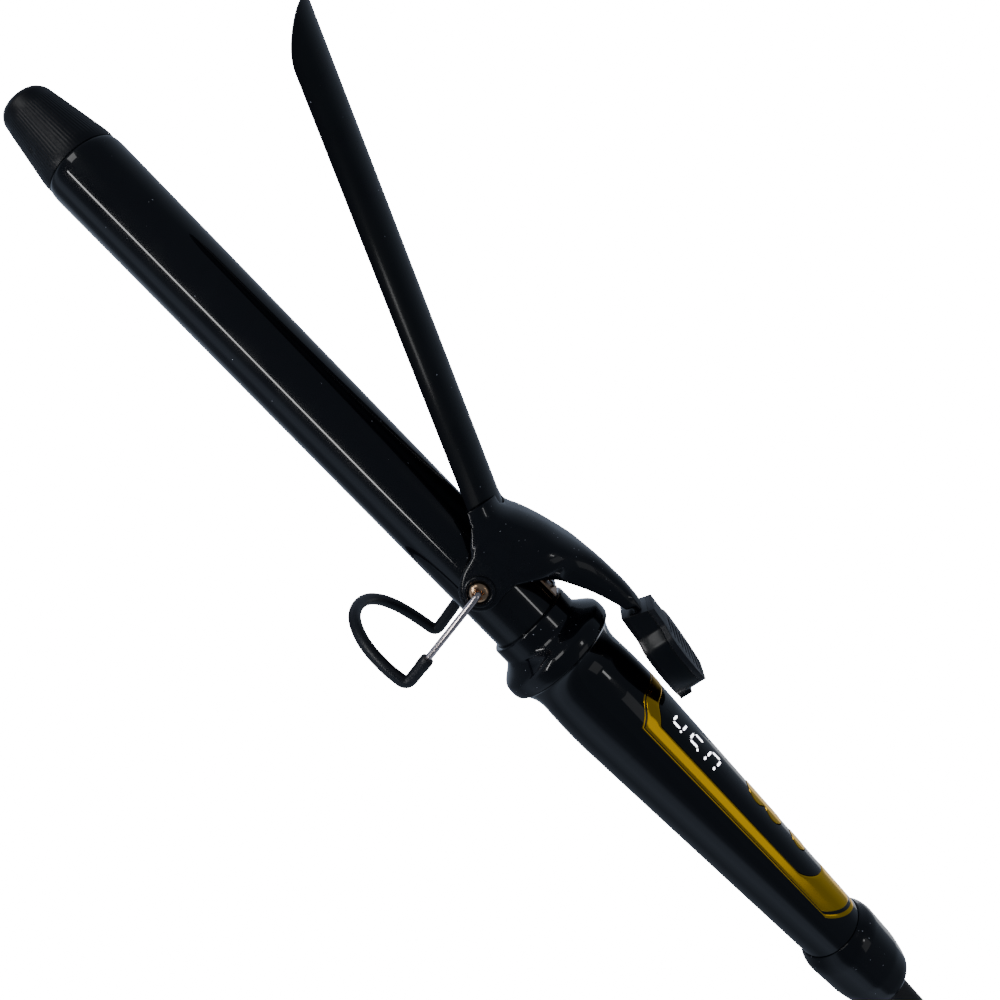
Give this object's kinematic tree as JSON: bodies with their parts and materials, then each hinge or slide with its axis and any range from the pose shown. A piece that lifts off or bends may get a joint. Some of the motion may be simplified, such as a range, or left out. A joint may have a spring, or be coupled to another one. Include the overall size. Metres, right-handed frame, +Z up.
{
  "type": "curling iron",
  "caption": "Hair curling iron with a spring clip on a round barrel, a wire stand, a display panel with gold trim and a swivel cord.",
  "frame": {"origin": "on the surface it stands on, under the middle of the iron without its cord", "axes": "+X runs along the iron towards the cord, +Z up to the clip side, +Y across"},
  "size_m": [0.6556, 0.0572, 0.1356],
  "materials": {
    "barrel_coat": "high gloss black ceramic coat",
    "clip_coat": "satin gloss black coat",
    "tip_plastic": "fine ribbed black",
    "saddle_plastic": "gloss black moulding",
    "pad_plastic": "semi gloss black",
    "handle_plastic": "piano black",
    "panel_plastic": "piano black panel",
    "gold": "mirror gold plating",
    "lens": "smoked window",
    "display": "black display block",
    "board": "green laminate",
    "ceramic": "fired white",
    "spreader": "extruded",
    "steel": "machined",
    "screw_nickel": "warm nickel plating",
    "wire_chrome": "bright drawn wire",
    "sleeve_rubber": "soft black silicone",
    "spring_bronze": "phosphor bronze strip",
    "contact_brass": "turned",
    "insulation": "white sleeving",
    "boot_rubber": "brownish black rubber",
    "cord_pvc": "black flex",
    "plug_plastic": "moulded black"
  },
  "bodies": {
    "root": {"barrel_tube": "barrel_coat", "cool_tip": "tip_plastic", "ceramic_heater": "ceramic", "heat_spreader_upper": "spreader", "heat_spreader_lower": "spreader", "temperature_sensor": "ceramic", "thermal_fuse": "ceramic", "heater_leads": "insulation", "barrel_insulator": "ceramic", "pivot_bosses": "steel", "pivot_screws": "screw_nickel", "heat_guard": "handle_plastic", "handle_shell": "handle_plastic", "gold_trim": "gold", "control_panel": "panel_plastic", "display_window": "lens", "display_module": "display", "circuit_board": "board", "board_screws": "steel", "tact_switches": "display", "end_collar": "handle_plastic", "contact_brushes": "contact_brass", "clip_spring": "spring_bronze", "spring_screw": "steel", "power_cord": "cord_pvc", "cord_hank": "cord_pvc", "cord_ties": "plug_plastic", "plug_body": "plug_plastic", "plug_blades": "steel"},
    "clip": {"clip_blade": "clip_coat", "clip_saddle": "saddle_plastic", "blade_rivets": "steel", "thumb_pad_base": "pad_plastic", "thumb_pad_cap": "pad_plastic", "pad_screw": "steel"},
    "stand": {"stand_wire": "wire_chrome", "stand_sleeve": "sleeve_rubber"},
    "rocker": {"temperature_button": "gold"},
    "power": {"power_button": "gold"},
    "swivel": {"swivel_core": "insulation", "contact_rings": "contact_brass", "cord_boot": "boot_rubber"}
  },
  "joints": [
    {"name": "clip_hinge", "type": "hinge", "parent": "root", "child": "clip", "pos_m": [-0.02209, 0, 0.03706], "axis": [0, 1, 0], "range_deg": [-23, 2], "stiffness_Nm_per_rad": 0.4, "springref_deg": -25.78},
    {"name": "stand_hinge", "type": "hinge", "parent": "root", "child": "stand", "pos_m": [-0.02209, 0, 0.03706], "axis": [0, 1, 0], "range_deg": [-72, 42]},
    {"name": "temperature_rock", "type": "hinge", "parent": "root", "child": "rocker", "pos_m": [0.09454, 0, 0.03193], "axis": [0, 1, 0], "range_deg": [-2.5, 2.5], "stiffness_Nm_per_rad": 0.02},
    {"name": "power_press", "type": "slide", "parent": "root", "child": "power", "axis": [-0.131, 0, -0.9914], "range_m": [0, 0.0005], "stiffness_N_per_m": 400},
    {"name": "cord_swivel", "type": "hinge", "parent": "root", "child": "swivel", "pos_m": [0.16776, 0, 0.01197], "axis": [0.9914, 0, -0.131], "continuous": true}
  ]
}
